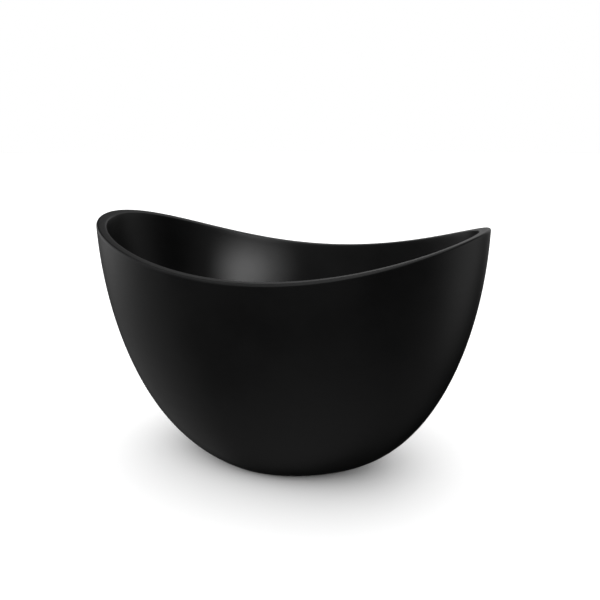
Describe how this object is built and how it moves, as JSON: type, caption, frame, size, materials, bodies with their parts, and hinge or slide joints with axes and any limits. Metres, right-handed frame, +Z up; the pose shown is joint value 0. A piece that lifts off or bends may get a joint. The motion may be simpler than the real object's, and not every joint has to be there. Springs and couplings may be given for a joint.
{
  "type": "freestanding bathtub",
  "caption": "Compact deep freestanding bathtub with a saddle-shaped rim and egg-shaped double-skinned body, on levelling feet, with pop-up waste.",
  "frame": {"origin": "centre of the base, on the floor", "axes": "+X along the tub, +Y across it to the side away from the overflow, +Z up"},
  "size_m": [1.2, 0.6842, 0.7423],
  "materials": {
    "shell": "satin black gel-coated acrylic, backed with glass-reinforced resin",
    "moulded_plastic": "grey moulded ABS",
    "board": "sealed plywood",
    "galvanised_rail": "galvanised steel tube",
    "zinc_steel": "bright zinc plate",
    "foot_rubber": "black moulded rubber",
    "black_trim": "satin black coated brass",
    "seal_rubber": "soft black rubber",
    "brass": "turned brass",
    "hose": "flexible ribbed hose"
  },
  "bodies": {
    "tub": {"basin": "shell", "skirt": "shell", "joint_strip": "moulded_plastic", "base_board": "board", "long_rail_front": "galvanised_rail", "long_rail_rear": "galvanised_rail", "cross_rail_left": "galvanised_rail", "cross_rail_right": "galvanised_rail", "board_screws": "zinc_steel", "weld_nuts": "zinc_steel", "lock_nuts": "zinc_steel", "waste_flange": "black_trim", "flange_gasket": "seal_rubber", "under_gasket": "seal_rubber", "waste_body": "moulded_plastic", "outlet_washer": "seal_rubber", "outlet_nut": "moulded_plastic", "tailpiece": "moulded_plastic", "cartridge": "brass", "plug_spring": "zinc_steel", "overflow_cover": "black_trim", "overflow_screw": "black_trim", "overflow_seal_front": "seal_rubber", "overflow_seal_back": "seal_rubber", "overflow_duct": "moulded_plastic", "overflow_hose": "hose", "hose_clips": "zinc_steel"},
    "plug": {"plug_stem": "brass", "plug_cap": "black_trim", "plug_seal": "seal_rubber"},
    "foot_front_left": {"foot_pad_front_left": "foot_rubber"},
    "stud_front_left": {"foot_stud_front_left": "zinc_steel"},
    "foot_front_right": {"foot_pad_front_right": "foot_rubber"},
    "stud_front_right": {"foot_stud_front_right": "zinc_steel"},
    "foot_rear_left": {"foot_pad_rear_left": "foot_rubber"},
    "stud_rear_left": {"foot_stud_rear_left": "zinc_steel"},
    "foot_rear_right": {"foot_pad_rear_right": "foot_rubber"},
    "stud_rear_right": {"foot_stud_rear_right": "zinc_steel"}
  },
  "joints": [
    {"name": "plug_lift", "type": "slide", "parent": "tub", "child": "plug", "axis": [0, 0, 1], "range_m": [0, 0.009], "deforming": ["plug_spring"]},
    {"name": "foot_rise_front_left", "type": "slide", "parent": "tub", "child": "foot_front_left", "axis": [0, 0, 1], "range_m": [-0.012, 0.005]},
    {"name": "stud_turn_front_left", "type": "hinge", "parent": "foot_front_left", "child": "stud_front_left", "pos_m": [-0.1, -0.058, 0.05], "axis": [0, 0, 1], "range_deg": [-2881, 1201]},
    {"name": "foot_rise_front_right", "type": "slide", "parent": "tub", "child": "foot_front_right", "axis": [0, 0, 1], "range_m": [-0.012, 0.005]},
    {"name": "stud_turn_front_right", "type": "hinge", "parent": "foot_front_right", "child": "stud_front_right", "pos_m": [0.1, -0.058, 0.05], "axis": [0, 0, 1], "range_deg": [-2881, 1201]},
    {"name": "foot_rise_rear_left", "type": "slide", "parent": "tub", "child": "foot_rear_left", "axis": [0, 0, 1], "range_m": [-0.012, 0.005]},
    {"name": "stud_turn_rear_left", "type": "hinge", "parent": "foot_rear_left", "child": "stud_rear_left", "pos_m": [-0.1, 0.058, 0.05], "axis": [0, 0, 1], "range_deg": [-2881, 1201]},
    {"name": "foot_rise_rear_right", "type": "slide", "parent": "tub", "child": "foot_rear_right", "axis": [0, 0, 1], "range_m": [-0.012, 0.005]},
    {"name": "stud_turn_rear_right", "type": "hinge", "parent": "foot_rear_right", "child": "stud_rear_right", "pos_m": [0.1, 0.058, 0.05], "axis": [0, 0, 1], "range_deg": [-2881, 1201]}
  ],
  "couplings": [
    {"joint": "stud_turn_front_left", "follows": "foot_rise_front_left", "rad_per_m": 4188.8},
    {"joint": "stud_turn_front_right", "follows": "foot_rise_front_right", "rad_per_m": 4188.8},
    {"joint": "stud_turn_rear_left", "follows": "foot_rise_rear_left", "rad_per_m": 4188.8},
    {"joint": "stud_turn_rear_right", "follows": "foot_rise_rear_right", "rad_per_m": 4188.8}
  ]
}
